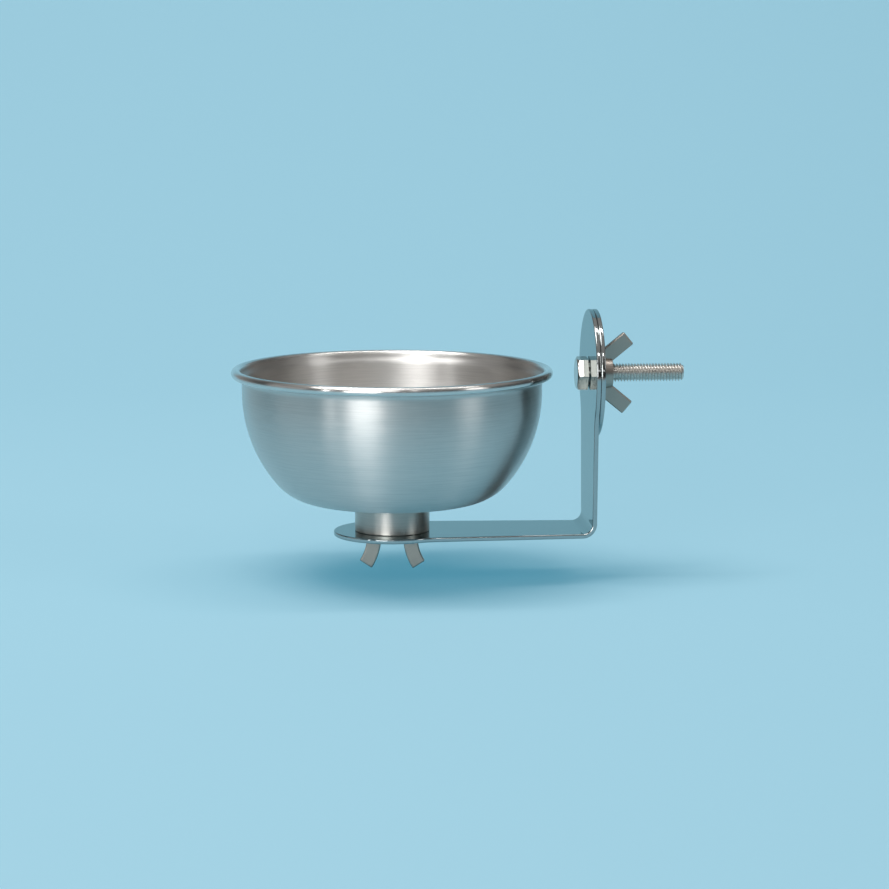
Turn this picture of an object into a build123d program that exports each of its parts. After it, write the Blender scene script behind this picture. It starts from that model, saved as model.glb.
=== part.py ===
# Seed cup: a spun steel bowl on a bent steel bracket that clamps to the bars of a cage.
# Millimetres. The origin is on the clamp bolt's axis, in the bracket face that bears on the bars.
# +X runs along the bolt to its free end, and +Z is up.
from build123d import *

import os
from math import acos, cos, degrees, isclose, radians, sin, sqrt, tan

# Where the bowl stands
REACH = 66.0  # from the bars' bearing face to the bowl's axis
RISE = 51.3  # from the arm's top face to the clamp bolt's axis

# Bowl, spun from one sheet, with its edge rolled outwards into a hollow bead
BOWL_HEIGHT = 43.8  # from the underside to the top of the bead
BOWL_SHEET = 0.6
WALL_RADIUS = 49.0  # outside of the upright wall
WALL_STRAIGHT = 2.9  # height of the upright wall
CORNER_RADIUS = 17.5  # outside, where the flat bottom turns up
CORNER_TURN = 49.3  # degrees that the corner turns before the wider side curve takes over
NECK_STEP = 1.0  # outward step of the wall under the bead
NECK_RADIUS = 3.0
BEAD_RADIUS = 1.54  # outside
BEAD_TURN = 270  # degrees that the edge is rolled

# Ferrule, the short tube that the bowl stands on
FERRULE_RADIUS = 12.25
FERRULE_WALL = 1.2
FERRULE_HEIGHT = 9.9
FERRULE_ROUND = 0.3

# Bracket, one strip with a round pad at each end, bent once
BRACKET_SHEET = 1.5
BOWL_PAD_RADIUS = 19.2
CLAMP_PAD_RADIUS = 21.0
STRIP_WIDTH_AT_PADS = 34.0
STRIP_WIDTH_AT_BEND = 28.0
PAD_BLEND = 10.0  # radius in the outline where the strip runs into a pad
BEND_INSIDE = 3.2
EDGE_ROUND = 0.4  # on the edges of the bracket and of the clamp disc

# Clamp disc, cut from the bracket's sheet to match its pad
CLAMP_DISC_RADIUS = CLAMP_PAD_RADIUS
CLAMP_DISC_SHEET = BRACKET_SHEET

# Metric fasteners
SCREW_RADIUS = 3.0
HOLE_CLEARANCE = 0.3  # round a screw in a drilled hole
NUT_CLEARANCE = 0.1  # round a screw in a nut
SCREW_CHAMFER = 0.7
BOLT_LENGTH = 31.5  # under the head
HEAD_FLATS = 10.0
HEAD_HEIGHT = 4.0
HEAD_FACE_INSET = 0.25  # from the flats to the edge of the head's round end face
HEAD_CHAMFER_SLOPE = 30  # degrees
HEAD_TURN = -6.5  # degrees from -Y towards +Z to the nearest corner of the head
STUD_FLANGE_RADIUS = 4.6
STUD_FLANGE_HEIGHT = 1.0

# Toothed lock washer under the lower wing nut
WASHER_RADIUS = 5.5
WASHER_SHEET = 0.7
WASHER_TEETH = 10
TOOTH_GAP_WIDTH = 1.0
TOOTH_GAP_DEPTH = 1.1

# Wing nuts: hub, and wings that leave the hub's foot and flare out
WING_SHEET = 2.0
WING_ROUND = 0.5
WING_FOOT = 0.3  # height of the wings' foot over the seat
HUB_TAPER = 0.5
CLAMP_HUB_RADIUS = 5.4
CLAMP_HUB_HEIGHT = 4.9
CLAMP_WING_WIDTH = 5.1
CLAMP_WING_LENGTH = 13.2
CLAMP_WING_ROOT = 3.3  # radius where the wing's centre line leaves the seat
CLAMP_WING_FLARE = 39.5  # degrees from the nut's axis
CLAMP_NUT_TURN = 5.0  # degrees about the bolt, from upright wings
BOWL_HUB_RADIUS = 4.8
BOWL_HUB_HEIGHT = 1.8
BOWL_WING_WIDTH = 4.7
BOWL_WING_ROOT = 6.0
BOWL_WING_CURVE = 17.0  # radius of the wing's centre line
BOWL_WING_TURN = 33.0  # degrees that the wing curves outwards
BOWL_NUT_TURN = -8.0  # degrees about the stud, from wings along X

# Places that follow from the sizes above
ARM_TOP = -RISE
ARM_UNDERSIDE = ARM_TOP - BRACKET_SHEET
BOWL_UNDERSIDE = ARM_TOP + FERRULE_HEIGHT
WASHER_UNDERSIDE = ARM_UNDERSIDE - WASHER_SHEET
STUD_END = WASHER_UNDERSIDE - BOWL_HUB_HEIGHT
BOWL_AXIS = Location((-REACH, 0, 0))
SCREW_HOLE_RADIUS = SCREW_RADIUS + HOLE_CLEARANCE


def turned(direction, angle):
    """A direction in the XY plane, turned to the left by an angle in degrees."""
    return Vector(direction).rotate(Axis.Z, angle)


def strip_side(start, heading, bends, offset):
    """One edge of a strip: its centre line's runs and bends, moved to the left by offset."""
    point = start + turned(heading, 90) * offset
    edges = []
    for run, radius, turn in bends:
        if run:
            edges.append(Line(point, point + heading * run))
            point = edges[-1] @ 1
        if turn:
            side_radius = radius - offset if turn > 0 else radius + offset
            edges.append(JernArc(start=point, tangent=heading, radius=side_radius, arc_size=turn))
            point = edges[-1] @ 1
            heading = turned(heading, turn)
    return edges


def bent_strip(start, heading, bends, width):
    """Face of a strip of constant width along a chain of tangent runs and bends.

    Each of bends is a straight run, then the centre line's radius and its turn to the left in degrees.
    """
    left = strip_side(Vector(start), Vector(heading), bends, width / 2)
    right = strip_side(Vector(start), Vector(heading), bends, -width / 2)
    ends = [Line(left[0] @ 0, right[0] @ 0), Line(left[-1] @ 1, right[-1] @ 1)]
    return make_face(left + right + ends)


def along_x(shape):
    """A shape built on +Z, laid along +X with its own X turned to +Z."""
    return Plane(origin=(0, 0, 0), x_dir=(0, 0, 1), z_dir=(1, 0, 0)) * shape


def bowl():
    """The spun bowl: flat bottom, corner, side curve, upright wall, neck and rolled bead."""
    half = BOWL_SHEET / 2
    slope = radians(CORNER_TURN)
    neck_turn = degrees(acos(1 - NECK_STEP / (2 * NECK_RADIUS)))
    neck_height = 2 * NECK_RADIUS * sin(radians(neck_turn))
    side_height = BOWL_HEIGHT - BEAD_RADIUS - neck_height - WALL_STRAIGHT
    side_radius = (side_height - CORNER_RADIUS * (1 - cos(slope))) / cos(slope)
    flat_radius = WALL_RADIUS - side_radius * (1 - sin(slope)) - CORNER_RADIUS * sin(slope)
    bends = [
        (flat_radius, CORNER_RADIUS - half, CORNER_TURN),
        (0, side_radius - half, 90 - CORNER_TURN),
        (WALL_STRAIGHT, NECK_RADIUS, -neck_turn),
        (0, NECK_RADIUS, neck_turn),
        (0, BEAD_RADIUS - half, -BEAD_TURN),
    ]
    section = bent_strip((0, half), (1, 0), bends, BOWL_SHEET)
    return BOWL_AXIS * Pos(0, 0, BOWL_UNDERSIDE) * revolve(Plane.XZ * section, Axis.Z)


def ferrule():
    """The short tube between the bowl and the bracket."""
    post = extrude(Circle(FERRULE_RADIUS), FERRULE_HEIGHT)
    post = fillet(post.edges(), FERRULE_ROUND)
    tube = post - extrude(Circle(FERRULE_RADIUS - FERRULE_WALL), FERRULE_HEIGHT)
    return BOWL_AXIS * Pos(0, 0, ARM_TOP) * tube


def screw(length):
    """A plain screw of the given length along +Z, from z 0, with a chamfered end."""
    shank = extrude(Circle(SCREW_RADIUS), length)
    return chamfer(shank.edges().group_by(Axis.Z)[-1], SCREW_CHAMFER)


def stud():
    """The screw welded under the bowl, which passes down through the ferrule and the bracket."""
    flange = extrude(Circle(STUD_FLANGE_RADIUS), STUD_FLANGE_HEIGHT)
    upwards = flange + screw(BOWL_UNDERSIDE - STUD_END)
    return BOWL_AXIS * Pos(0, 0, BOWL_UNDERSIDE) * Rot(180, 0, 0) * upwards


def leg_outline(pad_radius, length):
    """Flat outline of one leg: a pad round the origin, and a tapering strip along +X to the bend."""
    pad_edge = STRIP_WIDTH_AT_PADS / 2
    bend_edge = STRIP_WIDTH_AT_BEND / 2
    corners = [(0, -pad_edge), (length, -bend_edge), (length, bend_edge), (0, pad_edge)]
    outline = Circle(pad_radius) + make_face(Polyline(corners, close=True))
    necks = outline.vertices().sort_by(Axis.X)[:2]
    return fillet(necks, PAD_BLEND)


def bracket():
    """One strip bent square: the bowl's pad and arm below, the upright and the clamp's pad above."""
    half = BRACKET_SHEET / 2
    bend = BEND_INSIDE + BRACKET_SHEET
    arm_plane = Plane(origin=(-REACH, 0, ARM_UNDERSIDE))
    arm = extrude(leg_outline(BOWL_PAD_RADIUS, REACH - bend), BRACKET_SHEET)
    upright_plane = Plane(origin=(-BRACKET_SHEET, 0, 0), x_dir=(0, 0, -1), z_dir=(1, 0, 0))
    upright = extrude(leg_outline(CLAMP_PAD_RADIUS, RISE - BEND_INSIDE), BRACKET_SHEET)
    corner = bent_strip((-bend, ARM_TOP - half), (1, 0), [(0, BEND_INSIDE + half, 90)], BRACKET_SHEET)
    corner = extrude(Plane.XZ * corner, STRIP_WIDTH_AT_BEND / 2, both=True)
    sheet = arm_plane * arm + corner + upright_plane * upright
    along_sheet = sheet.edges().filter_by(lambda edge: not isclose(edge.length, BRACKET_SHEET))
    rims = along_sheet.filter_by(Axis.Y, reverse=True)
    sheet = fillet(rims, EDGE_ROUND)
    hole = extrude(Circle(SCREW_HOLE_RADIUS), BRACKET_SHEET)
    return sheet - arm_plane * hole - upright_plane * hole


def clamp_bolt():
    """The hexagon bolt, its head on the bowl's side of the bracket and its corners chamfered."""
    corner_radius = HEAD_FLATS / sqrt(3)
    face_radius = HEAD_FLATS / 2 - HEAD_FACE_INSET
    corner_height = HEAD_HEIGHT - (corner_radius - face_radius) * tan(radians(HEAD_CHAMFER_SLOPE))
    crown = [
        (0, 0),
        (corner_radius, 0),
        (corner_radius, corner_height),
        (face_radius, HEAD_HEIGHT),
        (0, HEAD_HEIGHT),
    ]
    head = extrude(RegularPolygon(HEAD_FLATS / 2, 6, major_radius=False), HEAD_HEIGHT)
    head = head & revolve(Plane.XZ * make_face(Polyline(crown, close=True)), Axis.Z)
    head = Rot(180, 0, 0) * Rot(0, 0, HEAD_TURN - 90) * head
    return Pos(-BRACKET_SHEET, 0, 0) * along_x(head + screw(BOLT_LENGTH))


def clamp_disc():
    """The loose round plate that presses the bars against the bracket."""
    disc = extrude(Circle(CLAMP_DISC_RADIUS), CLAMP_DISC_SHEET)
    disc = fillet(disc.edges(), EDGE_ROUND)
    return along_x(disc - extrude(Circle(SCREW_HOLE_RADIUS), CLAMP_DISC_SHEET))


def lock_washer():
    """The thin washer with teeth round its rim, between the bracket and the lower wing nut."""
    gap = Pos(WASHER_RADIUS, 0) * Rectangle(2 * TOOTH_GAP_DEPTH, TOOTH_GAP_WIDTH)
    outline = Circle(WASHER_RADIUS) - PolarLocations(0, WASHER_TEETH) * gap - Circle(SCREW_HOLE_RADIUS)
    return BOWL_AXIS * Pos(0, 0, WASHER_UNDERSIDE) * extrude(outline, WASHER_SHEET)


def wing_nut(hub_radius, hub_height, wing_root, wing_heading, wing_bends, wing_width):
    """A wing nut on +Z with its seat at z 0: a tapered hub with two wings in the XZ plane."""
    hub = Solid.make_cone(hub_radius, hub_radius - HUB_TAPER, hub_height)
    wing = bent_strip((wing_root, 0), wing_heading, wing_bends, wing_width)
    foot = Plane(origin=(0, WING_FOOT, 0), z_dir=(0, 1, 0))
    plate = extrude(Plane.XZ * split(wing, bisect_by=foot), WING_SHEET / 2, both=True)
    sides = plate.faces().sort_by(Axis.Y)
    plate = fillet(sides[0].edges() + sides[-1].edges(), WING_ROUND)
    nut = hub + plate + Rot(0, 0, 180) * plate
    return nut - extrude(Circle(SCREW_RADIUS + NUT_CLEARANCE), hub_height)


def clamp_wing_nut():
    """The tall wing nut that tightens the clamp disc, with straight wings."""
    flare = radians(CLAMP_WING_FLARE)
    nut = wing_nut(
        CLAMP_HUB_RADIUS,
        CLAMP_HUB_HEIGHT,
        CLAMP_WING_ROOT,
        (sin(flare), cos(flare)),
        [(CLAMP_WING_LENGTH, 0, 0)],
        CLAMP_WING_WIDTH,
    )
    return Pos(CLAMP_DISC_SHEET, 0, 0) * along_x(Rot(0, 0, CLAMP_NUT_TURN) * nut)


def bowl_wing_nut():
    """The low wing nut under the bracket, with wings that curve outwards."""
    nut = wing_nut(
        BOWL_HUB_RADIUS,
        BOWL_HUB_HEIGHT,
        BOWL_WING_ROOT,
        (0, 1),
        [(0, BOWL_WING_CURVE, -BOWL_WING_TURN)],
        BOWL_WING_WIDTH,
    )
    return BOWL_AXIS * Pos(0, 0, WASHER_UNDERSIDE) * Rot(0, 0, BOWL_NUT_TURN) * Rot(180, 0, 0) * nut


NODES = [bowl, ferrule, stud, bracket, clamp_bolt, clamp_disc, clamp_wing_nut, lock_washer, bowl_wing_nut]


def main():
    """Writes each piece to a STEP file of its own."""
    os.makedirs("parts", exist_ok=True)
    for node in NODES:
        export_step(node(), f"parts/{node.__name__}.step")


if __name__ == "__main__":
    main()
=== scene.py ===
"""Looks of a steel seed cup: a spun bowl on a bent bracket that clamps to the bars of a cage.

Sizes are in millimetres, in the part's own frame: the origin is on the clamp bolt's axis, in the
bracket face that bears on the bars, +X runs along the bolt to its free end, and +Z is up.
"""
import logging
import math
from collections.abc import Iterator, Sequence
from contextlib import contextmanager
from dataclasses import dataclass
from enum import Enum

import bpy
from mathutils import Matrix, Vector


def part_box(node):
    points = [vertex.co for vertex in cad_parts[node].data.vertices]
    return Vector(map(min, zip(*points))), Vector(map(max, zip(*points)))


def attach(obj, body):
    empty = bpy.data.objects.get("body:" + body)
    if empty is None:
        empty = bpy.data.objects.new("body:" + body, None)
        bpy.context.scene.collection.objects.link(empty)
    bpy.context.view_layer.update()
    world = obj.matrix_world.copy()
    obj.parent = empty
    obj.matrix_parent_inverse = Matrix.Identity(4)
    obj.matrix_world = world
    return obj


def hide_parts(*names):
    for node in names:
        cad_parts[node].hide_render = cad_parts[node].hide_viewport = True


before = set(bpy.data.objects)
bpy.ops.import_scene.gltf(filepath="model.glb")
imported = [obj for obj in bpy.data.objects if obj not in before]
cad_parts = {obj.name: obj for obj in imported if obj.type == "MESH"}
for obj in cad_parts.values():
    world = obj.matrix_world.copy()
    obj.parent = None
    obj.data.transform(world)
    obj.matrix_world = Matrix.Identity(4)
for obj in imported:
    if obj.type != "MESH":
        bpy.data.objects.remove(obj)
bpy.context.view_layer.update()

MM = 0.001
ROUND_STEPS = 256  # segments round the bowl, the ferrule and the disc
FASTENER_STEPS = 96  # segments round a nut, a bolt head or a hole
MERGE_DISTANCE = 1e-7
SHARP_ANGLE = 35  # degrees between two faces, from which their edge is shaded sharp
SPARE = 1.0  # how far a cutting tool reaches past what it cuts
NOISE_SPAN = (0.3, 0.7)  # where most values of a noise lie
Triple = tuple[float, float, float]
Pair = tuple[float, float]
Colour = tuple[float, float, float, float]
Piece = bpy.types.Object
Tree = bpy.types.NodeTree
Node = bpy.types.Node
Socket = bpy.types.NodeSocket
log = logging.getLogger("seed_cup")


class Cut(Enum):
    """How one solid changes another."""

    ADD = "UNION"
    REMOVE = "DIFFERENCE"
    KEEP_COMMON = "INTERSECT"


@dataclass(frozen=True)
class Run:
    """A straight move ahead, in millimetres."""

    length: float


@dataclass(frozen=True)
class Arc:
    """A move along an arc tangent to the last move, with its turn to the left in degrees."""

    radius: float
    turn: float
    steps: int


@dataclass(frozen=True)
class Corner:
    """A sharp turn to the left on the spot, in degrees."""

    turn: float


Move = Run | Arc | Corner


@dataclass(frozen=True)
class Sketch:
    """A plane to draw in, by two directions from an origin in millimetres."""

    origin: Triple
    across: Triple
    along: Triple

    def point(self, across: float, along: float) -> Vector:
        """Returns the place of a point of the sketch, in metres."""
        return MM * (Vector(self.origin) + across * Vector(self.across) + along * Vector(self.along))

    def normal(self) -> Vector:
        """Returns the direction that a left turn goes round."""
        return Vector(self.across).cross(Vector(self.along))


def pick(*pieces: Piece) -> None:
    """Selects only these pieces and makes the first one active.

    Args:
        pieces: the pieces to act on.
    """
    bpy.ops.object.select_all(action="DESELECT")
    for piece in pieces:
        piece.select_set(True)
    bpy.context.view_layer.objects.active = pieces[0]


@contextmanager
def editing(piece: Piece, select_all: bool = True) -> Iterator[None]:
    """Opens one piece alone in edit mode.

    Args:
        piece: the piece to shape.
        select_all: whether all of its mesh gets selected, or only what already was.
    """
    pick(piece)
    bpy.ops.object.mode_set(mode="EDIT")
    if select_all:
        bpy.ops.mesh.select_all(action="SELECT")
    try:
        yield
    finally:
        bpy.ops.object.mode_set(mode="OBJECT")


def ahead_of(heading: float) -> Vector:
    """Returns the direction of a heading in degrees."""
    angle = math.radians(heading)
    return Vector((math.cos(angle), math.sin(angle)))


def left_of(heading: float) -> Vector:
    """Returns the direction at a right angle to the left of a heading in degrees."""
    angle = math.radians(heading)
    return Vector((-math.sin(angle), math.cos(angle)))


def draw(name: str, sketch: Sketch, start: Pair, heading: float, moves: Sequence[Move]) -> Piece:
    """Draws a chain of edges from one vertex by extruding it ahead and spinning it round.

    Args:
        name: the new piece's name.
        sketch: the plane to draw in.
        start: where the first vertex lies in the sketch.
        heading: the first direction, in degrees from across towards along.
        moves: the runs, arcs and corners in order.

    Returns:
        The chain as a mesh of edges.
    """
    bpy.ops.object.select_all(action="DESELECT")
    bpy.ops.mesh.primitive_plane_add(size=MM)
    chain = bpy.context.object
    chain.name = name
    here = Vector(start)
    with editing(chain):
        bpy.ops.mesh.merge(type="CENTER")
        bpy.ops.transform.translate(value=sketch.point(*here))
        for move in moves:
            if isinstance(move, Run):
                step = move.length * ahead_of(heading)
                shift = sketch.point(*(here + step)) - sketch.point(*here)
                bpy.ops.mesh.extrude_vertices_move(TRANSFORM_OT_translate={"value": shift})
                here += step
            elif isinstance(move, Arc):
                side = math.copysign(1, move.turn)
                to_centre = side * move.radius * left_of(heading)
                bpy.ops.mesh.spin(
                    steps=move.steps,
                    angle=math.radians(abs(move.turn)),
                    center=sketch.point(*(here + to_centre)),
                    axis=-side * sketch.normal(),
                )
                heading += move.turn
                here += to_centre - side * move.radius * left_of(heading)
            else:
                heading += move.turn
    return chain


def turn_on_lathe(section: Piece, sketch: Sketch, steps: int) -> None:
    """Spins a section all the way round the sketch's along axis and closes its seam and poles.

    Args:
        section: the drawn section, which becomes the turned piece.
        sketch: the plane it was drawn in.
        steps: segments round the axis.
    """
    with editing(section):
        bpy.ops.mesh.spin(steps=steps, angle=math.tau, center=sketch.point(0, 0), axis=sketch.along)
        bpy.ops.mesh.select_all(action="SELECT")
        bpy.ops.mesh.remove_doubles(threshold=MERGE_DISTANCE)
        bpy.ops.mesh.normals_make_consistent(inside=False)


def modify(piece: Piece, kind: str, **settings: object) -> None:
    """Adds a modifier and applies it.

    Args:
        piece: the piece to change.
        kind: Blender's name for the modifier.
        settings: the modifier's own settings.
    """
    modifier = piece.modifiers.new(kind.title(), kind)
    for name, value in settings.items():
        setattr(modifier, name, value)
    pick(piece)
    bpy.ops.object.modifier_apply(modifier=modifier.name)


def combine(piece: Piece, tool: Piece, cut: Cut) -> None:
    """Changes a solid by another one, which is used up. Each keeps its own finish.

    Args:
        piece: the solid to keep.
        tool: the solid that is added to it, taken from it or crossed with it.
        cut: what happens.
    """
    modify(piece, "BOOLEAN", object=tool, operation=cut.value, solver="EXACT", material_mode="TRANSFER")
    bpy.data.objects.remove(tool, do_unlink=True)


def trim(piece: Piece, place: Vector, keep: Vector) -> None:
    """Cuts off what lies behind a plane and closes the cut.

    Args:
        piece: the solid to cut.
        place: a point of the plane, in metres.
        keep: the direction from the plane to what stays.
    """
    with editing(piece):
        bpy.ops.mesh.bisect(
            plane_co=place, plane_no=keep, use_fill=True, clear_inner=True, threshold=MERGE_DISTANCE
        )
        bpy.ops.mesh.select_all(action="SELECT")
        bpy.ops.mesh.normals_make_consistent(inside=False)


def round_edges(piece: Piece, width: float, segments: int, sharper_than: float = 50) -> None:
    """Rounds all edges that are sharper than an angle.

    Args:
        piece: the solid to change.
        width: how far the rounding reaches from the edge, in millimetres.
        segments: faces across the rounding.
        sharper_than: the angle between two faces, in degrees.
    """
    modify(
        piece,
        "BEVEL",
        width=width * MM,
        segments=segments,
        limit_method="ANGLE",
        angle_limit=math.radians(sharper_than),
        use_clamp_overlap=True,
    )


def smooth(piece: Piece, flats: bool = True) -> None:
    """Shades a piece smooth, apart from its sharp edges.

    Args:
        piece: the piece to shade.
        flats: whether its flat faces mirror flat, up to the roundings along their edges.
    """
    pick(piece)
    bpy.ops.object.shade_smooth_by_angle(angle=math.radians(SHARP_ANGLE))
    if flats:
        modify(piece, "WEIGHTED_NORMAL", mode="FACE_AREA", keep_sharp=True)


def ring(
    name: str, sketch: Sketch, inner: float, outer: float, height: float, rounding: float
) -> Piece:
    """Turns a ring whose outer edges are rounded.

    Args:
        name: the piece's name.
        sketch: a plane through the ring's axis, from its foot.
        inner: radius of the bore.
        outer: outside radius.
        height: length along the axis.
        rounding: radius of the outer edges.

    Returns:
        The ring as a closed solid.
    """
    face = Run(outer - inner - rounding)
    edge = Arc(rounding, 90, steps=5)
    moves = [face, edge, Run(height - 2 * rounding), edge, face, Corner(90), Run(height)]
    solid = draw(name, sketch, (inner, 0), 0, moves)
    turn_on_lathe(solid, sketch, ROUND_STEPS)
    return solid


def rod(name: str, sketch: Sketch, radius: float, start: float, end: float) -> Piece:
    """Turns a plain closed rod, for drilling or for a flange.

    Args:
        name: the piece's name.
        sketch: a plane through the rod's axis.
        radius: its radius.
        start: where it begins along the axis.
        end: where it ends.

    Returns:
        The rod as a closed solid.
    """
    moves = [Run(radius), Corner(90), Run(end - start), Corner(90), Run(radius)]
    solid = draw(name, sketch, (0, start), 0, moves)
    turn_on_lathe(solid, sketch, FASTENER_STEPS)
    return solid


def slab(
    name: str, sketch: Sketch, start: Pair, heading: float, moves: Sequence[Move], sheet: float
) -> Piece:
    """Fills a drawn outline and thickens it to both sides of the sketch.

    Args:
        name: the piece's name.
        sketch: the plane of the outline.
        start: where the outline begins.
        heading: its first direction, in degrees.
        moves: its runs, arcs and corners. The last point is joined to the first.
        sheet: the thickness.

    Returns:
        The slab as a closed solid.
    """
    outline = draw(name, sketch, start, heading, moves)
    with editing(outline):
        bpy.ops.mesh.remove_doubles(threshold=MERGE_DISTANCE)
        bpy.ops.mesh.edge_face_add()
    modify(outline, "SOLIDIFY", thickness=sheet * MM, offset=0)
    with editing(outline):
        bpy.ops.mesh.normals_make_consistent(inside=False)
    return outline


def srgb(colour: str) -> Colour:
    """Turns an sRGB hex colour to linear.

    Args:
        colour: six hex digits after a number sign.

    Returns:
        Linear red, green and blue, and an alpha of 1.
    """
    parts = [int(colour[place : place + 2], 16) / 255 for place in (1, 3, 5)]
    linear = [part / 12.92 if part <= 0.04045 else ((part + 0.055) / 1.055) ** 2.4 for part in parts]
    return (*linear, 1.0)


def darker(colour: str, share: float) -> Colour:
    """Returns an sRGB hex colour in linear, with its light brought down to a share."""
    red, green, blue, alpha = srgb(colour)
    return (share * red, share * green, share * blue, alpha)


def add_node(
    tree: Tree, kind: str, inputs: dict[str | int, object] | None = None, **settings: object
) -> Node:
    """Adds a node with its settings and links.

    Args:
        tree: the node tree.
        kind: Blender's name for the node.
        inputs: for each input, by name or place, its value, or the socket or the node that feeds it.
        settings: the node's own settings.

    Returns:
        The new node.
    """
    node = tree.nodes.new(kind)
    for name, value in settings.items():
        setattr(node, name, value)
    for key, value in (inputs or {}).items():
        source = value.outputs[0] if isinstance(value, Node) else value
        if isinstance(source, Socket):
            tree.links.new(source, node.inputs[key])
        else:
            node.inputs[key].default_value = source
    return node


def new_material(name: str) -> tuple[bpy.types.Material, Tree]:
    """Starts a material with an empty node tree.

    Args:
        name: the material's name.

    Returns:
        The material and its tree.
    """
    material = bpy.data.materials.new(name)
    material.use_nodes = True
    material.node_tree.nodes.clear()
    return material, material.node_tree


@dataclass(frozen=True)
class BrushedSteel:
    """Stainless sheet brushed round an upright axis with a fine abrasive belt.

    The scratches spread light across themselves and hardly along themselves, so a lamp's reflection
    is drawn out into a streak at a right angle to the brushing. A rolled bead is polished.
    """

    name: str
    colour: str
    roughness: float
    axis_at: Triple
    bead_at: Pair = (0, 0)  # radius and height of the middle of the polished bead
    bead_radius: float = 0
    bead_roughness: float = 0.24
    polish_edge: Pair = (0.25, 0.1)  # how far off the bead its polish ends and is full
    polish_fade: float = 0.6  # way of its fading on the inside, as a share of the bead's radius
    line_width: float = 0.5  # real lines are near 0.05 mm, drawn wider so that they show
    line_length: float = 16.0
    line_gloss: float = 0.15  # share by which the lines vary the roughness
    line_tone: float = 0.88  # light of the darkest lines, as a share
    tone_span: Pair = (0.3, 0.6)  # noise of the darkest and the lightest lines
    groove_width: float = 0.2
    groove_depth: float = 0.04
    anisotropy: float = 0.9
    anisotropy_turn: float = 0.25  # of a whole turn, so that light spreads across the lines

    def build(self) -> bpy.types.Material:
        """Sets up the nodes of the finish.

        Returns:
            The finish as a material.
        """
        material, tree = new_material(self.name)
        place = add_node(tree, "ShaderNodeTexCoord").outputs["Object"]
        axis_at = MM * Vector(self.axis_at)
        centred = add_node(tree, "ShaderNodeVectorMath", {0: place, 1: axis_at}, operation="SUBTRACT")
        flat = add_node(tree, "ShaderNodeVectorMath", {0: centred, 1: (1, 1, 0)}, operation="MULTIPLY")
        reach = add_node(tree, "ShaderNodeVectorMath", {0: flat}, operation="LENGTH").outputs["Value"]
        height = add_node(tree, "ShaderNodeSeparateXYZ", {0: centred}).outputs["Z"]
        up_the_wall = add_node(tree, "ShaderNodeMath", {0: reach, 1: height})
        lines = self.scratches(tree, flat, up_the_wall, self.line_width, detail=3)
        grooves = self.scratches(tree, flat, up_the_wall, self.groove_width, detail=0)
        polish = self.polish(tree, reach, height, up_the_wall)
        brushed = add_node(
            tree,
            "ShaderNodeMapRange",
            {
                "Value": lines,
                "From Min": NOISE_SPAN[0],
                "From Max": NOISE_SPAN[1],
                "To Min": self.roughness * (1 - self.line_gloss),
                "To Max": self.roughness * (1 + self.line_gloss),
            },
        )
        roughness = add_node(tree, "ShaderNodeMix", {0: polish, 2: brushed, 3: self.bead_roughness})
        low, high = self.tone_span
        spread = add_node(tree, "ShaderNodeMapRange", {"Value": lines, "From Min": low, "From Max": high})
        shades = {0: spread, 6: darker(self.colour, self.line_tone), 7: srgb(self.colour)}
        tone = add_node(tree, "ShaderNodeMix", shades, data_type="RGBA")
        unpolished = add_node(tree, "ShaderNodeMapRange", {"Value": polish, "To Min": 1, "To Max": 0})
        bump = add_node(
            tree,
            "ShaderNodeBump",
            {"Strength": unpolished, "Distance": self.groove_depth * MM, "Height": grooves},
        )
        tangent = add_node(tree, "ShaderNodeTangent", direction_type="RADIAL", axis="Z")
        shader = add_node(
            tree,
            "ShaderNodeBsdfPrincipled",
            {
                "Base Color": tone.outputs[2],
                "Metallic": 1,
                "Roughness": roughness,
                "Anisotropic": self.anisotropy,
                "Anisotropic Rotation": self.anisotropy_turn,
                "Normal": bump,
                "Tangent": tangent,
            },
        )
        add_node(tree, "ShaderNodeOutputMaterial", {"Surface": shader})
        return material

    def scratches(self, tree: Tree, flat: Node, up_the_wall: Node, width: float, detail: float) -> Node:
        """Draws noise out round the axis into long lines.

        Args:
            tree: the node tree.
            flat: the place round the axis.
            up_the_wall: a length that grows from the middle of the floor to the rim.
            width: the lines' spacing, in millimetres.
            detail: how many times finer lines are added.

        Returns:
            The noise.
        """
        stretch = (1 / (self.line_length * MM),) * 3
        around = add_node(tree, "ShaderNodeVectorMath", {0: flat, 1: stretch}, operation="MULTIPLY")
        fineness = 1 / (width * MM)
        across = add_node(tree, "ShaderNodeMath", {0: up_the_wall, 1: fineness}, operation="MULTIPLY")
        across = add_node(tree, "ShaderNodeCombineXYZ", {2: across})
        place = add_node(tree, "ShaderNodeVectorMath", {0: around, 1: across})
        noise = {"Vector": place, "Scale": 1, "Detail": detail, "Roughness": 0.65}
        return add_node(tree, "ShaderNodeTexNoise", noise)

    def polish(self, tree: Tree, reach: Socket, height: Socket, up_the_wall: Node) -> Node:
        """Finds the polished outside of the bead.

        Args:
            tree: the node tree.
            reach: the distance from the axis.
            height: the height in the part's frame.
            up_the_wall: a length that grows from the middle of the floor to the rim.

        Returns:
            The share of polish, from 0 to 1.
        """
        section = add_node(tree, "ShaderNodeCombineXYZ", {0: reach, 1: height})
        bead_at = MM * Vector((*self.bead_at, 0))
        away = add_node(tree, "ShaderNodeVectorMath", {0: section, 1: bead_at}, operation="DISTANCE")
        none, full = ((self.bead_radius + edge) * MM for edge in self.polish_edge)
        near = {"Value": away.outputs["Value"], "From Min": none, "From Max": full}
        on_bead = add_node(tree, "ShaderNodeMapRange", near)
        top = sum(self.bead_at)
        begin = top - self.polish_fade * self.bead_radius
        beyond = {"Value": up_the_wall, "From Min": begin * MM, "From Max": top * MM}
        outside = add_node(tree, "ShaderNodeMapRange", beyond)
        return add_node(tree, "ShaderNodeMath", {0: on_bead, 1: outside}, operation="MULTIPLY")


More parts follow.
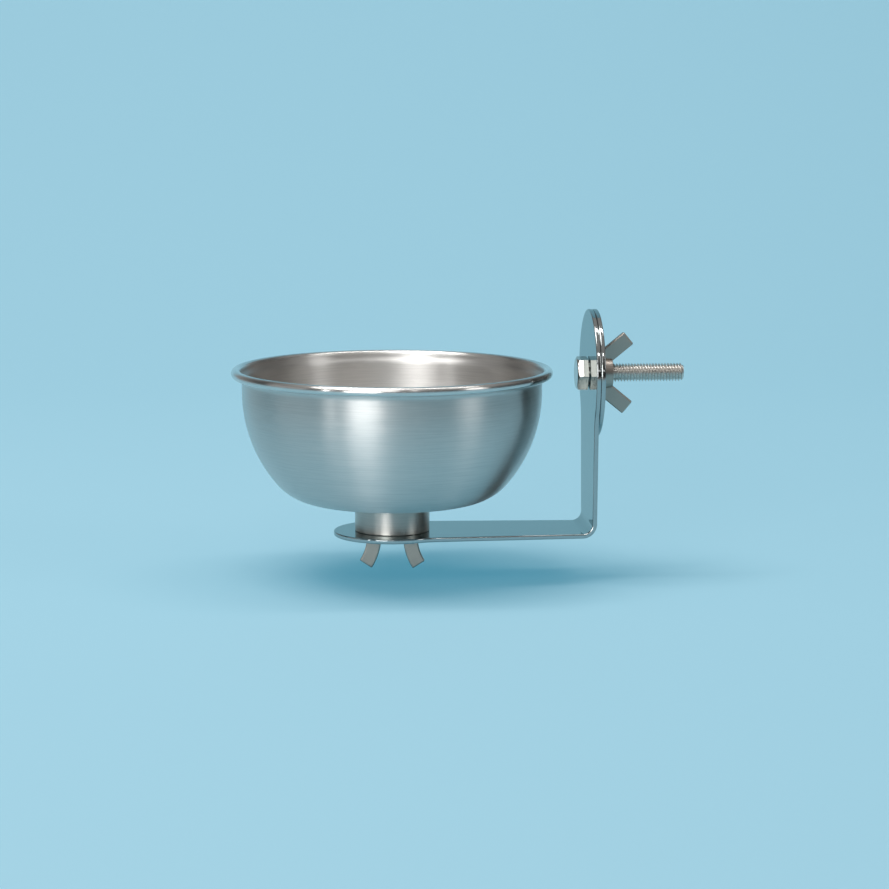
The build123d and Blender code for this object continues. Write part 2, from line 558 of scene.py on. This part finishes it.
@dataclass(frozen=True)
class PlainSteel:
    """Steel without a brushing direction: polished sheet, bright screws or tumbled nuts.

    A slow wave in the surface bends its reflections, and a fine mottle varies its gloss.
    """

    name: str
    colour: str
    roughness: float
    wave_size: float = 6.0  # spacing of the slow wave
    wave_depth: float = 0.004
    mottle_size: float = 0.6  # spacing of the fine mottle
    mottle: float = 0.25  # share by which the mottle varies the gloss
    glancing: str = "#FFFFFF"  # tint of what it mirrors at a glancing angle
    mottle_tone: float = 0.84  # light of the darkest spots, as a share

    def build(self) -> bpy.types.Material:
        """Sets up the nodes of the finish.

        Returns:
            The finish as a material.
        """
        material, tree = new_material(self.name)
        place = add_node(tree, "ShaderNodeTexCoord").outputs["Object"]
        wave = add_node(
            tree,
            "ShaderNodeTexNoise",
            {"Vector": place, "Scale": 1 / (self.wave_size * MM), "Detail": 1, "Roughness": 0.4},
        )
        mottle = add_node(
            tree,
            "ShaderNodeTexNoise",
            {"Vector": place, "Scale": 1 / (self.mottle_size * MM), "Detail": 4, "Roughness": 0.6},
        )
        gloss = add_node(
            tree,
            "ShaderNodeMapRange",
            {
                "Value": mottle,
                "From Min": NOISE_SPAN[0],
                "From Max": NOISE_SPAN[1],
                "To Min": self.roughness * (1 - self.mottle),
                "To Max": self.roughness * (1 + self.mottle),
            },
        )
        shades = {0: mottle, 6: darker(self.colour, self.mottle_tone), 7: srgb(self.colour)}
        tone = add_node(tree, "ShaderNodeMix", shades, data_type="RGBA")
        bump = add_node(
            tree,
            "ShaderNodeBump",
            {"Strength": 1, "Distance": self.wave_depth * MM, "Height": wave},
        )
        shader = add_node(
            tree,
            "ShaderNodeBsdfPrincipled",
            {
                "Base Color": tone.outputs[2],
                "Metallic": 1,
                "Roughness": gloss,
                "Specular Tint": srgb(self.glancing),
                "Normal": bump,
            },
        )
        add_node(tree, "ShaderNodeOutputMaterial", {"Surface": shader})
        return material


@dataclass(frozen=True)
class Paper:
    """Matt graded background paper, blue round the part and behind it, and grey further away.

    A faint painted glow in the blue, which the paper gives off though it is no lamp, keeps the
    shadows on it blue, and the upright wall of the bowl mirrors the grey.
    """

    name: str
    colour: str
    painted_glow: str
    far_colour: str
    middle: Triple
    grade: Pair  # how far from the middle the grading begins and ends
    breadth: float = 9000  # more than the paper reaches to the right

    def build(self) -> bpy.types.Material:
        """Sets up the nodes of the finish.

        Returns:
            The finish as a material.
        """
        material, tree = new_material(self.name)
        place = add_node(tree, "ShaderNodeTexCoord").outputs["Object"]
        middle = MM * Vector(self.middle)
        centred = add_node(tree, "ShaderNodeVectorMath", {0: place, 1: middle}, operation="SUBTRACT")
        # What lies behind the middle or above it counts as no further away.
        most = (self.breadth * MM, 0, 0)
        ahead = add_node(tree, "ShaderNodeVectorMath", {0: centred, 1: most}, operation="MINIMUM")
        away = add_node(tree, "ShaderNodeVectorMath", {0: ahead}, operation="LENGTH")
        begin, end = self.grade
        share = add_node(
            tree,
            "ShaderNodeMapRange",
            {"Value": away.outputs["Value"], "From Min": end * MM, "From Max": begin * MM},
            interpolation_type="SMOOTHSTEP",
        )
        tone = add_node(
            tree,
            "ShaderNodeMix",
            {0: share, 6: srgb(self.far_colour), 7: srgb(self.colour)},
            data_type="RGBA",
        )
        shader = add_node(
            tree,
            "ShaderNodeBsdfPrincipled",
            {
                "Base Color": tone.outputs[2],
                "Roughness": 0.9,
                "Specular IOR Level": 0.1,
                # painted glow: the paper lights itself near the part, which lifts its shadows
                "Emission Color": srgb(self.painted_glow),
                "Emission Strength": share,
            },
        )
        add_node(tree, "ShaderNodeOutputMaterial", {"Surface": shader})
        return material


Finish = BrushedSteel | PlainSteel | Paper

# Spun stainless sheet, belt brushed: soft upright streaks, and one pale line along the bead.
BOWL_FINISH = BrushedSteel(
    "spun_stainless_sheet",
    colour="#D6D4D1",
    roughness=0.4,
    axis_at=(-66.0, 0, 0),
    bead_at=(50.94, 0.86),
    bead_radius=1.54,
)
# Turned stainless tube: shallow lines, and streaks that run softly into each other.
FERRULE_FINISH = BrushedSteel(
    "turned_stainless_tube",
    colour="#C2BEB8",
    roughness=0.4,
    axis_at=(-66.0, 0, 0),
    groove_depth=0.01,
    anisotropy=0.65,
)
# Bright rolled stainless strip: it mirrors the paper almost clearly, a little waved.
SHEET_FINISH = PlainSteel(
    "polished_stainless_sheet",
    colour="#B4B9B9",
    roughness=0.09,
    wave_size=18,
    wave_depth=0.03,
    mottle_size=1.2,
    mottle=0.35,
    glancing="#DEE6E6",
)
# Cold headed stainless bar: bright flats with hard changes from light to dark.
SCREW_FINISH = PlainSteel("bright_stainless_screw", colour="#BEBBB5", roughness=0.16)
# Rolled stainless thread: paler and duller than the head.
THREAD_FINISH = PlainSteel("rolled_stainless_thread", colour="#DAD7D2", roughness=0.3)
# Stamped and tumbled stainless: an even, dull, warm grey.
NUT_FINISH = PlainSteel(
    "tumbled_stainless_nut",
    colour="#ABA299",
    roughness=0.34,
    wave_size=3,
    wave_depth=0.02,
    mottle_size=0.5,
    mottle=0.12,
)
PAPER_FINISH = Paper(
    "graded_blue_paper",
    colour="#94A8AF",
    # colour of the painted glow that keeps the shadows on the paper blue
    painted_glow="#2D788F",
    far_colour="#9A9A99",
    middle=(100, 100, -68),
    grade=(510, 1100),
)


def dress(piece: Piece, finish: Finish) -> None:
    """Gives a piece one finish all over.

    Args:
        piece: the piece to cover.
        finish: what it is made of.
    """
    piece.data.materials.clear()
    piece.data.materials.append(bpy.data.materials.get(finish.name) or finish.build())


def hand_over(piece: Piece, body: str, node: str) -> None:
    """Puts a dressed piece in a solid's stead.

    Args:
        piece: the dressed piece.
        body: the body that it moves with.
        node: the solid that it stands for.
    """
    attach(piece, body)
    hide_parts(node)
    log.info("%s: %d faces, box %s", piece.name, len(piece.data.polygons), box_text(piece, node))


def box_text(piece: Piece, node: str) -> str:
    """Compares a piece's box with its solid's box.

    Args:
        piece: the finished piece.
        node: the solid that it stands for.

    Returns:
        How far the piece lies outside the box on each side, in millimetres.
    """
    corners = [vertex.co for vertex in piece.data.vertices]
    low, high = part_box(node)
    under = [round((low[k] - min(c[k] for c in corners)) / MM, 2) for k in range(3)]
    over = [round((max(c[k] for c in corners) - high[k]) / MM, 2) for k in range(3)]
    return f"{under} under, {over} over"


@dataclass
class Screw:
    """An M6 screw thread: a coarse right-hand helix with a chamfered end."""

    radius: float = 3.0
    pitch: float = 1.0
    root_radius: float = 2.39
    crest_flat: float = 0.14
    root_flat: float = 0.2
    chamfer: float = 0.7
    steps: int = 40  # segments in a turn
    spare_turns: int = 2

    def build(self, name: str, sketch: Sketch, start: float, end: float) -> Piece:
        """Winds the thread upright, trims it to length and puts it in its place.

        Args:
            name: the piece's name.
            sketch: a plane through the screw's axis.
            start: where the screw begins along the axis.
            end: its chamfered end.

        Returns:
            The screw as a closed solid.
        """
        length = end - start
        thread = self.wind(name, math.ceil(length / self.pitch) + self.spare_turns)
        up = Vector((0, 0, 1))
        trim(thread, 0 * up, up)
        trim(thread, length * MM * up, -up)
        for vertex in thread.data.vertices:
            reach = math.hypot(vertex.co.x, vertex.co.y)
            most = self.radius * MM - max(0.0, vertex.co.z - (length - self.chamfer) * MM)
            if reach > most:
                vertex.co.x *= most / reach
                vertex.co.y *= most / reach
        axes = Matrix((Vector(sketch.across), -sketch.normal(), Vector(sketch.along)))
        thread.data.transform(Matrix.Translation(sketch.point(0, start)) @ axes.transposed().to_4x4())
        return thread

    def wind(self, name: str, turns: int) -> Piece:
        """Draws the section of one turn and winds it up along Z, from one turn below the origin.

        Args:
            name: the piece's name.
            turns: how many turns.

        Returns:
            The thread, open at both ends.
        """
        flank_height = (self.pitch - self.crest_flat - self.root_flat) / 2
        rise = self.radius - self.root_radius
        flank = Run(math.hypot(rise, flank_height))
        slope = math.degrees(math.atan2(rise, flank_height))
        moves = [
            Run(self.root_flat),
            Corner(-slope),
            flank,
            Corner(slope),
            Run(self.crest_flat),
            Corner(slope),
            flank,
        ]
        upright = Sketch((0, 0, 0), (1, 0, 0), (0, 0, 1))
        thread = draw(name, upright, (self.root_radius, -self.pitch), 90, moves)
        modify(
            thread,
            "SCREW",
            axis="Z",
            screw_offset=self.pitch * MM,
            iterations=turns,
            steps=self.steps,
            render_steps=self.steps,
            use_merge_vertices=True,
            merge_threshold=MERGE_DISTANCE,
        )
        with editing(thread):
            bpy.ops.mesh.remove_doubles(threshold=MERGE_DISTANCE)
            bpy.ops.mesh.normals_make_consistent(inside=False)
        return thread


@dataclass
class CupBody:
    """The bowl, the ferrule that it stands on and the stud welded under it."""

    axis_x: float = -66.0
    underside: float = -41.4
    height: float = 43.8
    sheet: float = 0.6
    wall_radius: float = 49.0
    wall_straight: float = 2.9
    corner_radius: float = 17.5
    corner_turn: float = 49.3
    neck_step: float = 1.0
    neck_radius: float = 3.0
    bead_radius: float = 1.54
    bead_turn: float = 270.0
    ferrule_radius: float = 12.25
    ferrule_wall: float = 1.2
    ferrule_height: float = 9.9
    ferrule_round: float = 0.3
    stud_end: float = -55.3
    flange_radius: float = 4.6
    flange_height: float = 1.0

    def build(self) -> None:
        """Builds the bowl, the ferrule and the stud."""
        self.build_bowl()
        self.build_ferrule()
        self.build_stud()

    def build_bowl(self) -> None:
        """Draws the middle of the bowl's sheet, spins it and gives it its thickness."""
        half = self.sheet / 2
        slope = math.radians(self.corner_turn)
        neck_turn = math.degrees(math.acos(1 - self.neck_step / (2 * self.neck_radius)))
        neck_height = 2 * self.neck_radius * math.sin(math.radians(neck_turn))
        side_height = self.height - self.bead_radius - neck_height - self.wall_straight
        side_radius = (side_height - self.corner_radius * (1 - math.cos(slope))) / math.cos(slope)
        flat = self.wall_radius - side_radius * (1 - math.sin(slope)) - self.corner_radius * math.sin(slope)
        moves = [
            Run(flat),
            Arc(self.corner_radius - half, self.corner_turn, steps=16),
            Arc(side_radius - half, 90 - self.corner_turn, steps=24),
            Run(self.wall_straight),
            Arc(self.neck_radius, -neck_turn, steps=6),
            Arc(self.neck_radius, neck_turn, steps=6),
            Arc(self.bead_radius - half, -self.bead_turn, steps=32),
        ]
        sketch = Sketch((self.axis_x, 0, self.underside), (1, 0, 0), (0, 0, 1))
        bowl = draw("spun_bowl", sketch, (0, half), 0, moves)
        turn_on_lathe(bowl, sketch, ROUND_STEPS)
        modify(bowl, "SOLIDIFY", thickness=self.sheet * MM, offset=0, use_even_offset=True)
        smooth(bowl, flats=False)
        dress(bowl, BOWL_FINISH)
        hand_over(bowl, "bowl", "bowl")

    def build_ferrule(self) -> None:
        """Turns the short tube."""
        sketch = Sketch((self.axis_x, 0, self.underside - self.ferrule_height), (1, 0, 0), (0, 0, 1))
        radius, height = self.ferrule_radius, self.ferrule_height
        bore = radius - self.ferrule_wall
        tube = ring("turned_ferrule", sketch, bore, radius, height, self.ferrule_round)
        smooth(tube)
        dress(tube, FERRULE_FINISH)
        hand_over(tube, "bowl", "ferrule")

    def build_stud(self) -> None:
        """Winds the stud's thread and adds its welding flange."""
        sketch = Sketch((self.axis_x, 0, self.underside), (1, 0, 0), (0, 0, -1))
        stud = Screw().build("welded_stud", sketch, self.flange_height / 2, self.underside - self.stud_end)
        flange = rod("flange", sketch, self.flange_radius, 0, self.flange_height)
        combine(stud, flange, Cut.ADD)
        smooth(stud)
        dress(stud, SCREW_FINISH)
        hand_over(stud, "bowl", "stud")


@dataclass
class Bracket:
    """One sheet with a round pad at each end, bent once, and the bolt through its upper pad."""

    reach: float = 66.0
    rise: float = 51.3
    sheet: float = 1.5
    bowl_pad: float = 19.2
    clamp_pad: float = 21.0
    width_at_pads: float = 34.0
    width_at_bend: float = 28.0
    blend: float = 10.0
    bend_inside: float = 3.2
    bend_steps: int = 14
    edge_round: float = 0.4
    hole_radius: float = 3.3
    bolt_end: float = 30.0
    head_flats: float = 10.0
    head_height: float = 4.0
    head_face_inset: float = 0.25
    head_slope: float = 30.0
    head_turn: float = -6.5
    head_edge: float = 0.12
    head_seat: Pair = (4.4, 0.3)  # radius and height of the washer face under the head

    def build(self) -> None:
        """Builds the bent sheet and the bolt."""
        self.build_sheet()
        self.build_bolt()

    def leg(self, name: str, sketch: Sketch, pad: float, length: float) -> Piece:
        """Draws one leg's face: a strip from the bend, blended into a round pad.

        Args:
            name: the piece's name.
            sketch: the leg's plane, from the middle of the pad towards the bend.
            pad: the pad's radius.
            length: from the middle of the pad to the bend.

        Returns:
            The leg as one face.
        """
        bend_edge = self.width_at_bend / 2
        taper = math.atan2(self.width_at_pads / 2 - bend_edge, length)
        ahead = Vector((-math.cos(taper), -math.sin(taper)))
        corner = Vector((length, -bend_edge))
        beside = corner + self.blend * Vector((math.sin(taper), -math.cos(taper)))
        reach = beside.dot(ahead)
        run = -reach - math.sqrt(reach**2 - beside.length_squared + (pad + self.blend) ** 2)
        centre = beside + run * ahead
        meets = math.degrees(math.atan2(centre.y, centre.x))
        heading = 180 + math.degrees(taper)
        blend = Arc(self.blend, 270 + meets - heading, steps=10)
        rim = Arc(pad, -(360 + 2 * meets), steps=120)
        leg = draw(name, sketch, corner, heading, [Run(run), blend, rim, blend, Run(run)])
        with editing(leg):
            bpy.ops.mesh.edge_face_add()
        return leg

    def bend(self, arm: Piece) -> None:
        """Spins the end of the arm's face upwards round the bend.

        Args:
            arm: the face of the lower leg.
        """
        end = -self.bend_inside - self.sheet
        with editing(arm):
            bpy.ops.mesh.select_all(action="DESELECT")
        for vertex in arm.data.vertices:
            vertex.select = abs(vertex.co.x - end * MM) < MERGE_DISTANCE
        centre = MM * Vector((end, 0, self.bend_inside - self.rise))
        with editing(arm, select_all=False):
            bpy.ops.mesh.select_mode(type="VERT")
            bpy.ops.mesh.spin(
                steps=self.bend_steps, angle=math.radians(90), center=centre, axis=(0, 1, 0)
            )

    def build_sheet(self) -> None:
        """Draws both legs with the bend between them, gives them their thickness and drills them."""
        arm_plane = Sketch((-self.reach, 0, -self.rise), (1, 0, 0), (0, 1, 0))
        arm_length = self.reach - self.bend_inside - self.sheet
        arm = self.leg("bent_bracket", arm_plane, self.bowl_pad, arm_length)
        self.bend(arm)
        upright_plane = Sketch((-self.sheet, 0, 0), (0, 0, -1), (0, -1, 0))
        upright = self.leg("upright", upright_plane, self.clamp_pad, self.rise - self.bend_inside)
        pick(arm, upright)
        bpy.ops.object.join()
        with editing(arm):
            bpy.ops.mesh.remove_doubles(threshold=10 * MERGE_DISTANCE)
            bpy.ops.mesh.normals_make_consistent(inside=False)
        facing = max(arm.data.polygons, key=lambda face: face.area).normal
        side = 1 if facing.x + facing.z < 0 else -1  # the thickness goes to the outside of the bend
        modify(arm, "SOLIDIFY", thickness=self.sheet * MM, offset=side, use_even_offset=True)
        with editing(arm):
            bpy.ops.mesh.normals_make_consistent(inside=False)
        round_edges(arm, self.edge_round, segments=4)
        bowl_axis = Sketch((-self.reach, 0, -self.rise), (1, 0, 0), (0, 0, 1))
        bolt_axis = Sketch((0, 0, 0), (0, 0, 1), (1, 0, 0))
        for axis in (bowl_axis, bolt_axis):
            drill = rod("drill", axis, self.hole_radius, -2 * self.sheet, self.sheet)
            combine(arm, drill, Cut.REMOVE)
        smooth(arm)
        dress(arm, SHEET_FINISH)
        hand_over(arm, "bracket", "bracket")

    def build_bolt(self) -> None:
        """Joins the head and the thread to a bolt."""
        head = self.head()
        axis = Sketch((0, 0, 0), (0, 0, 1), (1, 0, 0))
        thread = Screw().build("thread", axis, -self.sheet - self.head_height / 2, self.bolt_end)
        dress(head, SCREW_FINISH)
        dress(thread, THREAD_FINISH)
        combine(head, thread, Cut.ADD)
        smooth(head)
        hand_over(head, "bracket", "clamp_bolt")

    def head(self) -> Piece:
        """Cuts a hexagon bar to the head's crown and washer face.

        Returns:
            The head as a closed solid.
        """
        corner = self.head_flats / math.sqrt(3)
        face = self.head_flats / 2 - self.head_face_inset
        slope = math.radians(self.head_slope)
        crown_height = (corner - face) * math.tan(slope)
        sketch = Sketch((-self.sheet, 0, 0), (0, 0, 1), (-1, 0, 0))
        bpy.ops.object.select_all(action="DESELECT")
        bpy.ops.mesh.primitive_cylinder_add(vertices=6, radius=corner * MM, depth=self.head_height * MM)
        head = bpy.context.object
        head.name = "hexagon_bolt"
        turn = Matrix.Rotation(math.radians(90), 4, "Y")
        roll = Matrix.Rotation(math.radians(-self.head_turn), 4, "X")
        middle = Matrix.Translation(sketch.point(0, self.head_height / 2))
        head.data.transform(middle @ roll @ turn)
        seat_radius, seat_height = self.head_seat
        moves = [
            Run(seat_radius),
            Corner(90),
            Run(seat_height),
            Corner(-90),
            Run(corner + SPARE - seat_radius),
            Corner(90),
            Run(self.head_height - crown_height - seat_height - SPARE * math.tan(slope)),
            Corner(90 - self.head_slope),
            Run((corner - face + SPARE) / math.cos(slope)),
            Corner(self.head_slope),
            Run(face),
        ]
        crown = draw("crown", sketch, (0, 0), 0, moves)
        turn_on_lathe(crown, sketch, FASTENER_STEPS)
        combine(head, crown, Cut.KEEP_COMMON)
        round_edges(head, self.head_edge, segments=2, sharper_than=20)
        return head


@dataclass
class WingNut:
    """A stamped wing nut: a tapered hub with two wings that flare out from its foot."""

    name: str
    body: str
    node: str
    hub_radius: float
    hub_height: float
    wing_width: float
    wing_root: float
    wing_heading: float  # degrees from the seat to the wing's centre line
    wing_moves: tuple[Move, ...]  # the wing's centre line
    hub_taper: float = 0.5
    bore: float = 3.1
    wing_sheet: float = 2.0
    wing_round: float = 0.5
    wing_foot: float = 0.3
    hub_round: float = 0.25

    def build(self, seat: Triple, radial: Triple, axis: Triple) -> None:
        """Builds the nut.

        Args:
            seat: the middle of its seat.
            radial: the direction that one wing points to.
            axis: the direction from its seat to its wing tips.
        """
        sketch = Sketch(seat, radial, axis)
        slant = math.degrees(math.atan2(self.hub_taper, self.hub_height))
        moves = [
            Run(self.hub_radius - self.bore),
            Corner(90 + slant),
            Run(math.hypot(self.hub_height, self.hub_taper)),
            Corner(90 - slant),
            Run(self.hub_radius - self.hub_taper - self.bore),
            Corner(90),
            Run(self.hub_height),
        ]
        hub = draw(self.name, sketch, (self.bore, 0), 0, moves)
        turn_on_lathe(hub, sketch, FASTENER_STEPS)
        round_edges(hub, self.hub_round, segments=3)
        for side in (1, -1):
            across = tuple(side * part for part in radial)
            combine(hub, self.wing(Sketch(seat, across, axis)), Cut.ADD)
        combine(hub, rod("bore", sketch, self.bore, -SPARE, self.hub_height + SPARE), Cut.REMOVE)
        smooth(hub)
        dress(hub, NUT_FINISH)
        hand_over(hub, self.body, self.node)

    def wing(self, sketch: Sketch) -> Piece:
        """Draws a wing round its centre line, thickens it, trims its foot and rounds its edges.

        Args:
            sketch: the plane of the wing, from the middle of the nut's seat.

        Returns:
            The wing as a closed solid.
        """
        half = self.wing_width / 2
        out = [shifted(move, -half) for move in self.wing_moves]
        back = [turned_round(shifted(move, half)) for move in reversed(self.wing_moves)]
        start = Vector((self.wing_root, 0)) - half * left_of(self.wing_heading)
        moves = [*out, Corner(90), Run(self.wing_width), Corner(90), *back]
        wing = slab("wing", sketch, start, self.wing_heading, moves, self.wing_sheet)
        trim(wing, sketch.point(0, self.wing_foot), Vector(sketch.along))
        round_edges(wing, self.wing_round, segments=4)
        return wing


def shifted(move: Move, offset: float) -> Move:
    """Moves a part of a centre line to one side.

    Args:
        move: the run or arc.
        offset: how far to the left.

    Returns:
        The run or arc beside the centre line.
    """
    if isinstance(move, Arc):
        return Arc(move.radius - math.copysign(1, move.turn) * offset, move.turn, move.steps)
    return move


def turned_round(move: Move) -> Move:
    """Returns a move as it goes the other way."""
    return Arc(move.radius, -move.turn, move.steps) if isinstance(move, Arc) else move


@dataclass
class Clamp:
    """The loose disc that presses the bars against the bracket, and its wing nut."""

    disc_radius: float = 21.0
    sheet: float = 1.5
    hole_radius: float = 3.3
    edge_round: float = 0.4
    nut_turn: float = 5.0

    def build(self) -> None:
        """Builds the disc and the nut."""
        sketch = Sketch((0, 0, 0), (0, 0, 1), (1, 0, 0))
        disc = ring("loose_disc", sketch, self.hole_radius, self.disc_radius, self.sheet, self.edge_round)
        smooth(disc)
        dress(disc, SHEET_FINISH)
        hand_over(disc, "clamp_disc", "clamp_disc")
        nut = WingNut(
            "tall_wing_nut",
            "clamp_wing_nut",
            "clamp_wing_nut",
            hub_radius=5.4,
            hub_height=4.9,
            wing_width=5.1,
            wing_root=3.3,
            wing_heading=50.5,
            wing_moves=(Run(13.2),),
        )
        turn = math.radians(self.nut_turn)
        nut.build((self.sheet, 0, 0), (0, -math.sin(turn), math.cos(turn)), (1, 0, 0))


@dataclass
class BowlFastening:
    """The toothed washer and the low wing nut under the bracket."""

    axis_x: float = -66.0
    seat: float = -53.5
    nut_turn: float = -8.0

    def build(self) -> None:
        """Builds the nut and finishes the washer."""
        nut = WingNut(
            "low_wing_nut",
            "bowl_wing_nut",
            "bowl_wing_nut",
            hub_radius=4.8,
            hub_height=1.8,
            wing_width=4.7,
            wing_root=6.0,
            wing_heading=90,
            wing_moves=(Arc(17.0, -33.0, steps=12),),
        )
        turn = math.radians(self.nut_turn)
        nut.build((self.axis_x, 0, self.seat), (math.cos(turn), math.sin(turn), 0), (0, 0, -1))
        dress(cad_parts["lock_washer"], SCREW_FINISH)


@dataclass(frozen=True)
class Softbox:
    """A soft lamp and where it hangs, seen from the bowl."""

    name: str
    azimuth: float  # degrees from -Y towards +X
    elevation: float  # degrees over the floor
    size: Pair  # width and height, in metres
    power: float  # watts
    distance: float = 1.6  # metres from the bowl


SOFTBOXES = (
    # lights the paper and throws the shadow
    Softbox("overhead_softbox", azimuth=-60, elevation=70, distance=1.5, size=(0.9, 0.8), power=11),
    # the broad streak on the bowl, and its streak inside
    Softbox("front_softbox", azimuth=-26, elevation=10, size=(0.65, 0.6), power=7.6),
    Softbox("upper_softbox", azimuth=-8, elevation=34, size=(0.3, 0.5), power=1.3),
    # stands where the upper facet of the bolt's head mirrors it
    Softbox("small_softbox", azimuth=12.4, elevation=40, size=(0.08, 0.08), power=0.4),
    # the pale line along the bead
    Softbox("low_strip", azimuth=-10, elevation=12, size=(3.0, 0.07), power=0.7),
    # the narrow streak and the dim end on the left of the bowl
    Softbox("left_strip", azimuth=-52, elevation=12, size=(0.05, 0.7), power=1.2),
    Softbox("left_panel", azimuth=-85, elevation=14, size=(1.0, 0.7), power=0.8),
    # the streak on the right of the bowl
    Softbox("right_softbox", azimuth=58, elevation=20, distance=1.8, size=(0.5, 0.7), power=2.8),
)
# hangs over the part and is turned to the wall behind it
WALL_WASH = Softbox("wall_wash", azimuth=0, elevation=90, distance=2.2, size=(3.0, 0.5), power=37)


@dataclass
class Studio:
    """The paper sweep, the lamps and the camera."""

    floor_z: float = -68.0
    floor_front: float = 9000.0
    floor_back: float = 500.0
    sweep_radius: float = 1600.0
    wall_height: float = 1500.0
    sweep_width: float = 8000.0
    wash_tilt: float = 60.0  # degrees from straight down towards the wall
    horizon: str = "#2A2A2A"
    overhead: str = "#A6A5A3"
    room_fade: Pair = (0.1, 0.9)  # where the horizon's colour ends and the one overhead begins
    target: Triple = (-48.94, -1.61, -22.94)
    azimuth: float = -5.39
    elevation: float = 8.37
    roll: float = 0.07
    distance: float = 997.6
    lens: float = 123.3
    sensor: float = 36.0

    def build(self) -> None:
        """Sets up the stage, the light and the view."""
        self.sweep()
        for softbox in SOFTBOXES:
            self.hang(softbox)
        self.hang(WALL_WASH).rotation_euler = (math.radians(self.wash_tilt), 0, 0)
        self.room()
        self.camera()

    def sweep(self) -> None:
        """Builds a floor that curves up into a wall behind the part."""
        sketch = Sketch((0, 0, self.floor_z), (0, 1, 0), (0, 0, 1))
        floor = Run(self.floor_front + self.floor_back)
        moves = [floor, Arc(self.sweep_radius, 90, steps=32), Run(self.wall_height)]
        paper = draw("paper_sweep", sketch, (-self.floor_front, 0), 0, moves)
        width = MM * self.sweep_width
        with editing(paper):
            bpy.ops.transform.translate(value=(-width / 2, 0, 0))
            bpy.ops.mesh.extrude_edges_move(TRANSFORM_OT_translate={"value": (width, 0, 0)})
            bpy.ops.mesh.select_all(action="SELECT")
            bpy.ops.mesh.normals_make_consistent(inside=True)
        smooth(paper, flats=False)
        dress(paper, PAPER_FINISH)

    def hang(self, softbox: Softbox) -> bpy.types.Object:
        """Hangs a soft lamp round the part and aims it at the bowl.

        Args:
            softbox: the lamp's place, size and power.

        Returns:
            The lamp.
        """
        light = bpy.data.lights.new(softbox.name, "AREA")
        light.shape = "RECTANGLE"
        light.size, light.size_y = softbox.size
        light.energy = softbox.power
        lamp = bpy.data.objects.new(softbox.name, light)
        bpy.context.scene.collection.objects.link(lamp)
        away = towards(softbox.azimuth, softbox.elevation)
        lamp.location = MM * Vector(self.target) + softbox.distance * away
        lamp.rotation_euler = away.to_track_quat("Z", "Y").to_euler()
        lamp.visible_camera = False
        return lamp

    def room(self) -> None:
        """Lights the part evenly from a room that is dim all round and pale overhead."""
        world = bpy.data.worlds.new("studio_room")
        world.use_nodes = True
        tree = world.node_tree
        tree.nodes.clear()
        direction = add_node(tree, "ShaderNodeTexCoord").outputs["Generated"]
        height = add_node(tree, "ShaderNodeSeparateXYZ", {0: direction}).outputs["Z"]
        low, high = self.room_fade
        share = add_node(
            tree,
            "ShaderNodeMapRange",
            {"Value": height, "From Min": low, "From Max": high},
            interpolation_type="SMOOTHSTEP",
        )
        colour = add_node(
            tree,
            "ShaderNodeMix",
            {0: share, 6: srgb(self.horizon), 7: srgb(self.overhead)},
            data_type="RGBA",
        )
        light = add_node(tree, "ShaderNodeBackground", {"Color": colour.outputs[2], "Strength": 1})
        add_node(tree, "ShaderNodeOutputWorld", {"Surface": light})
        bpy.context.scene.world = world

    def camera(self) -> None:
        """Puts the camera where the photograph was taken from."""
        view = bpy.data.cameras.new("camera")
        view.lens = self.lens
        view.sensor_width = self.sensor
        view.sensor_fit = "HORIZONTAL"
        camera = bpy.data.objects.new("camera", view)
        bpy.context.scene.collection.objects.link(camera)
        back = towards(self.azimuth, self.elevation)
        right = ahead_of(self.azimuth).to_3d()
        turn = Matrix((right, back.cross(right), back)).transposed().to_4x4()
        place = Matrix.Translation(MM * (Vector(self.target) + self.distance * back))
        camera.matrix_world = place @ turn @ Matrix.Rotation(math.radians(self.roll), 4, "Z")
        bpy.context.scene.camera = camera
        bpy.context.scene.view_settings.view_transform = "Standard"


def towards(azimuth: float, elevation: float) -> Vector:
    """Returns a direction from the part, by degrees from -Y towards +X and over the floor."""
    turn, lift = math.radians(azimuth), math.radians(elevation)
    return Vector((math.sin(turn) * math.cos(lift), -math.cos(turn) * math.cos(lift), math.sin(lift)))


def main() -> None:
    """Builds the sub-assemblies in order, then the studio."""
    logging.basicConfig(level=logging.INFO, format="%(name)s: %(message)s")
    for assembly in (CupBody(), Bracket(), Clamp(), BowlFastening(), Studio()):
        assembly.build()
        log.info("%s is built", type(assembly).__name__)


if __name__ == "__main__":
    main()
